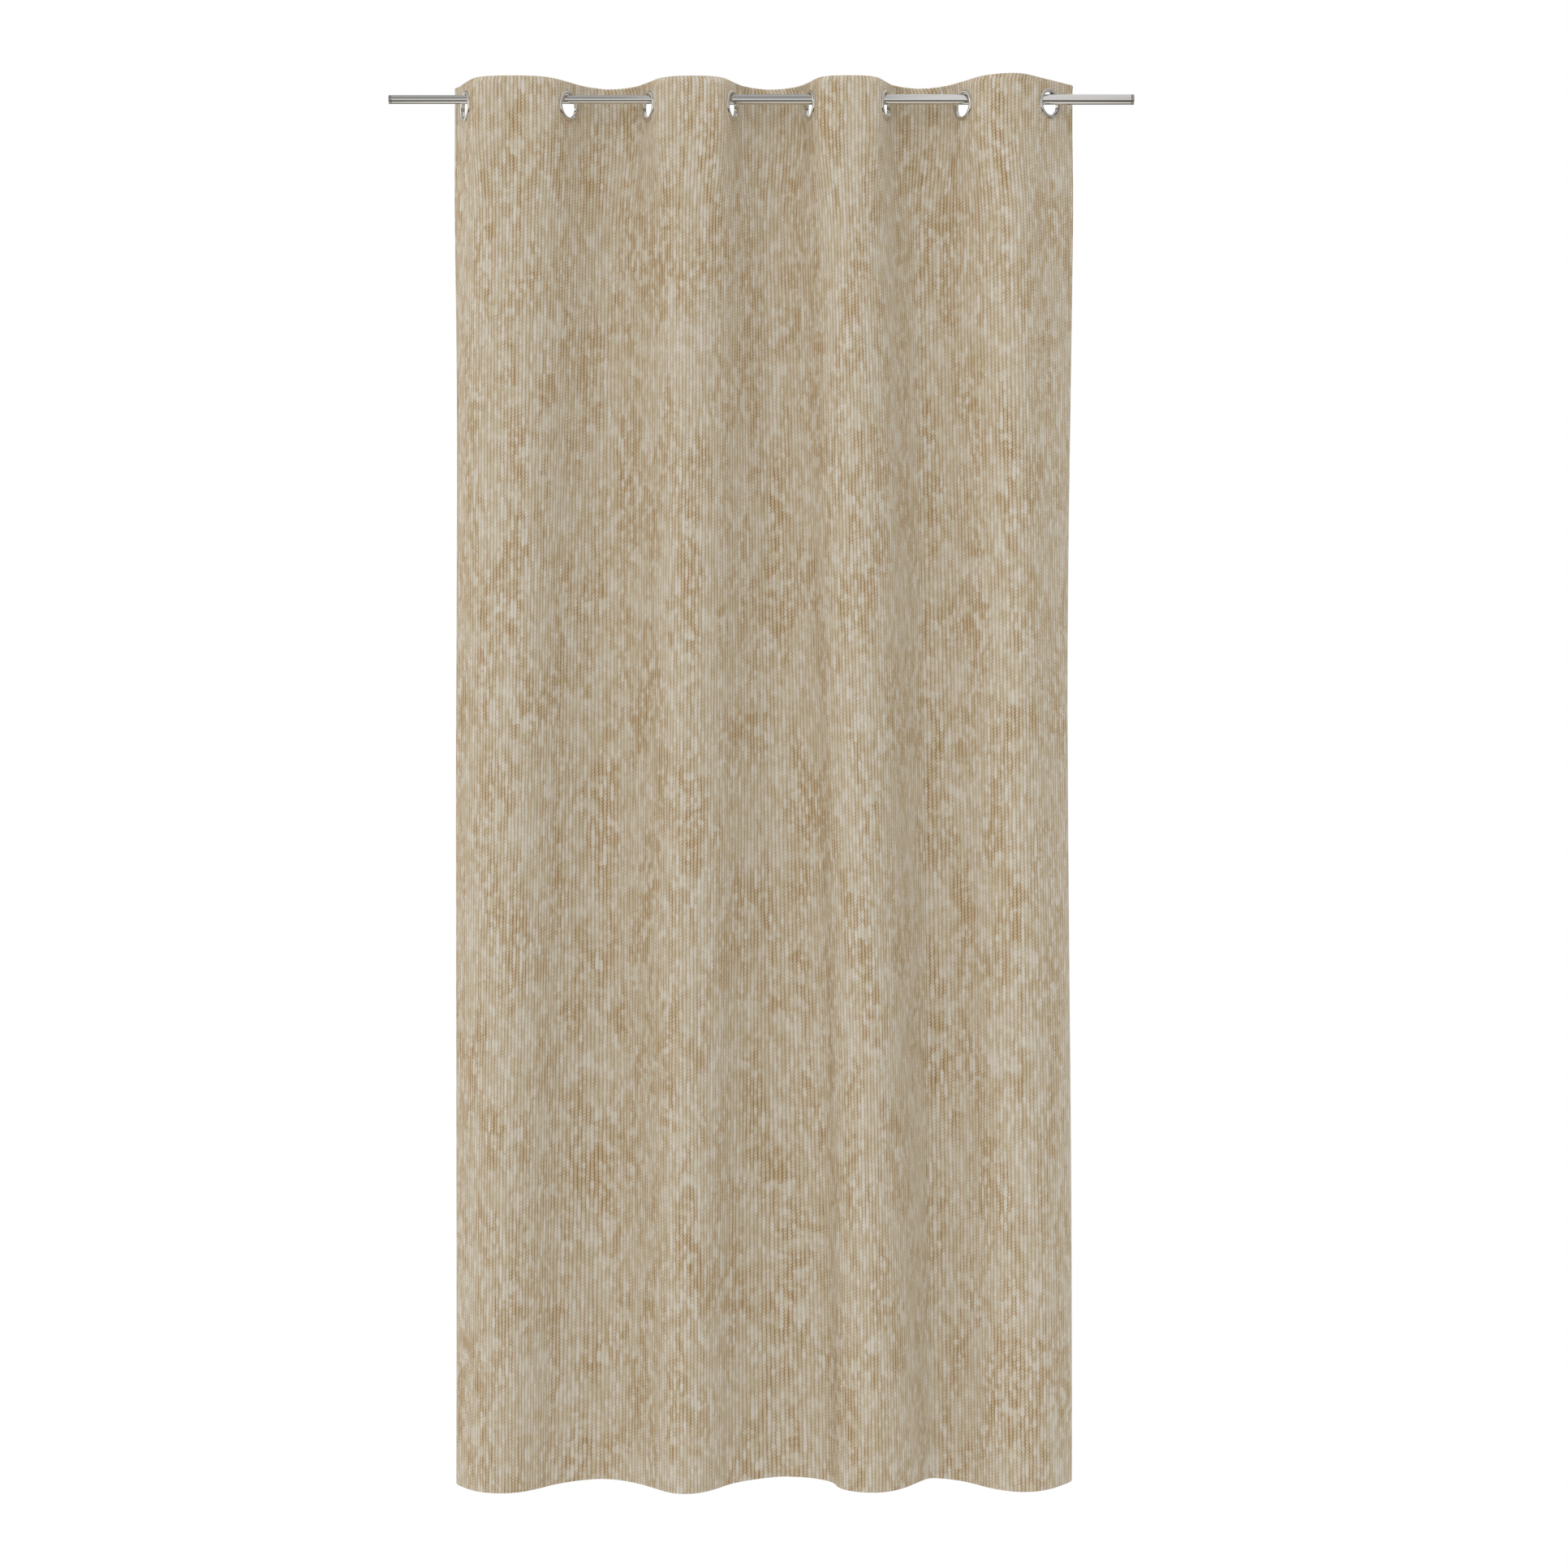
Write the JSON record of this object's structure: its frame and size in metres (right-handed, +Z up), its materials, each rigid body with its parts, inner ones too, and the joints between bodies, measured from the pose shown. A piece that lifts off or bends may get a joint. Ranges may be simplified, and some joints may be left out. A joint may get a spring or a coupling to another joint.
{
  "type": "eyelet curtain on a rod",
  "caption": "Eyelet curtain of heavy ribbed cloth hanging in soft folds on a telescopic metal rod that runs through metal rings in its header.",
  "frame": {"origin": "on the rod's axis, halfway between its two ends", "axes": "+X along the rod to the right of someone facing the curtain, -Y towards that person, +Z up"},
  "size_m": [1.38, 0.1067, 2.6047],
  "materials": {
    "fabric": "matt beige chenille with vertical ribs and melange streaks",
    "header_tape": "plain woven stiff white tape",
    "eyelet_metal": "polished nickel plate",
    "rod_steel": "satin, brushed along the rod",
    "rod_end_plug": "satin plated"
  },
  "bodies": {
    "rod": {"rod_outer_tube": "rod_steel", "rod_end_plug_right": "rod_end_plug"},
    "rod_slider": {"rod_inner_tube": "rod_steel", "rod_end_plug_left": "rod_end_plug"},
    "fold_1": {"fabric_header_1": "fabric", "fabric_drop_1": "fabric", "header_tape_1": "header_tape", "eyelet_face_ring_1": "eyelet_metal", "eyelet_clip_ring_1": "eyelet_metal"},
    "fold_2": {"fabric_header_2": "fabric", "fabric_drop_2": "fabric", "header_tape_2": "header_tape", "eyelet_face_ring_2": "eyelet_metal", "eyelet_clip_ring_2": "eyelet_metal"},
    "fold_3": {"fabric_header_3": "fabric", "fabric_drop_3": "fabric", "header_tape_3": "header_tape", "eyelet_face_ring_3": "eyelet_metal", "eyelet_clip_ring_3": "eyelet_metal"},
    "fold_4": {"fabric_header_4": "fabric", "fabric_drop_4": "fabric", "header_tape_4": "header_tape", "eyelet_face_ring_4": "eyelet_metal", "eyelet_clip_ring_4": "eyelet_metal"},
    "fold_5": {"fabric_header_5": "fabric", "fabric_drop_5": "fabric", "header_tape_5": "header_tape", "eyelet_face_ring_5": "eyelet_metal", "eyelet_clip_ring_5": "eyelet_metal"},
    "fold_6": {"fabric_header_6": "fabric", "fabric_drop_6": "fabric", "header_tape_6": "header_tape", "eyelet_face_ring_6": "eyelet_metal", "eyelet_clip_ring_6": "eyelet_metal"},
    "fold_7": {"fabric_header_7": "fabric", "fabric_drop_7": "fabric", "header_tape_7": "header_tape", "eyelet_face_ring_7": "eyelet_metal", "eyelet_clip_ring_7": "eyelet_metal"},
    "fold_8": {"fabric_header_8": "fabric", "fabric_drop_8": "fabric", "header_tape_8": "header_tape", "eyelet_face_ring_8": "eyelet_metal", "eyelet_clip_ring_8": "eyelet_metal"}
  },
  "joints": [
    {"name": "rod_extend", "type": "slide", "parent": "rod", "child": "rod_slider", "axis": [-1, 0, 0], "range_m": [-0.085, 0.2]},
    {"name": "curtain_draw", "type": "hinge", "parent": "rod", "child": "fold_1", "pos_m": [-0.546, 0, 0], "axis": [0, 0, -1], "range_deg": [0, 40]},
    {"name": "fold_2_turn", "type": "hinge", "parent": "fold_1", "child": "fold_2", "pos_m": [-0.452, -0.052, 0], "axis": [0, 0, 1], "range_deg": [0, 80]},
    {"name": "fold_3_turn", "type": "hinge", "parent": "fold_2", "child": "fold_3", "pos_m": [-0.28275, 0.052, 0], "axis": [0, 0, -1], "range_deg": [0, 80]},
    {"name": "fold_4_turn", "type": "hinge", "parent": "fold_3", "child": "fold_4", "pos_m": [-0.1315, -0.052, 0], "axis": [0, 0, 1], "range_deg": [0, 80]},
    {"name": "fold_5_turn", "type": "hinge", "parent": "fold_4", "child": "fold_5", "pos_m": [0.01825, 0.052, 0], "axis": [0, 0, -1], "range_deg": [0, 80]},
    {"name": "fold_6_turn", "type": "hinge", "parent": "fold_5", "child": "fold_6", "pos_m": [0.1605, -0.052, 0], "axis": [0, 0, 1], "range_deg": [0, 80]},
    {"name": "fold_7_turn", "type": "hinge", "parent": "fold_6", "child": "fold_7", "pos_m": [0.302, 0.052, 0], "axis": [0, 0, -1], "range_deg": [0, 80]},
    {"name": "fold_8_turn", "type": "hinge", "parent": "fold_7", "child": "fold_8", "pos_m": [0.454, -0.052, 0], "axis": [0, 0, 1], "range_deg": [0, 80]}
  ],
  "couplings": [
    {"joint": "fold_2_turn", "follows": "curtain_draw", "ratio": 2},
    {"joint": "fold_3_turn", "follows": "curtain_draw", "ratio": 2},
    {"joint": "fold_4_turn", "follows": "curtain_draw", "ratio": 2},
    {"joint": "fold_5_turn", "follows": "curtain_draw", "ratio": 2},
    {"joint": "fold_6_turn", "follows": "curtain_draw", "ratio": 2},
    {"joint": "fold_7_turn", "follows": "curtain_draw", "ratio": 2},
    {"joint": "fold_8_turn", "follows": "curtain_draw", "ratio": 2}
  ]
}
